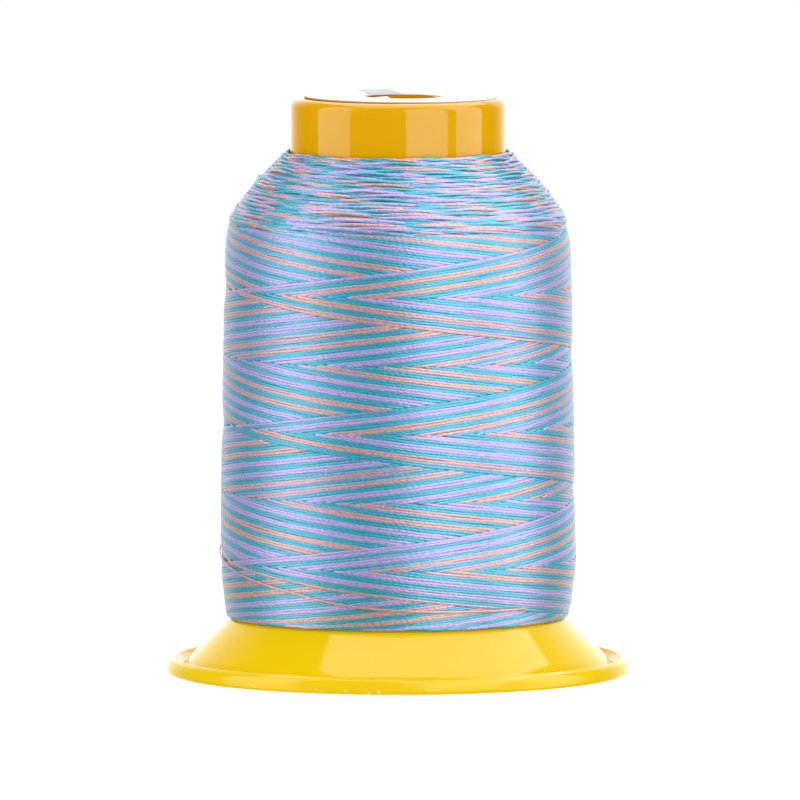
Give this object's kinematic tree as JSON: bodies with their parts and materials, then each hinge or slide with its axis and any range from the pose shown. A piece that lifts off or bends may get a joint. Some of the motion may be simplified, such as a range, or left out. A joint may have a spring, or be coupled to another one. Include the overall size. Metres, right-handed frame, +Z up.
{
  "type": "spool of woolly serger thread",
  "caption": "Small king spool: a plastic core with a flared skirt, a push-fit base dish and a cross-wound package of space-dyed textured thread.",
  "frame": {"origin": "centre of the underside of the base dish, on the surface the spool stands on", "axes": "+Z up along the spool's axis, -Y towards the viewer of the picture, +X to the viewer's right"},
  "size_m": [0.061, 0.061, 0.076],
  "materials": {
    "yellow_plastic": "opaque moulded plastic, warm yellow, soft gloss",
    "dyed_yarn": "textured filament thread, space-dyed turquoise, lilac and peach, wound with a soft sheen",
    "label_paper": "plain white uncoated paper"
  },
  "bodies": {
    "base": {"base_dish": "yellow_plastic"},
    "spool": {"spool_core": "yellow_plastic", "wound_thread": "dyed_yarn", "top_label": "label_paper"}
  },
  "joints": [
    {"name": "base_slide", "type": "slide", "parent": "base", "child": "spool", "axis": [0, 0, 1], "range_m": [0, 0.002]}
  ]
}
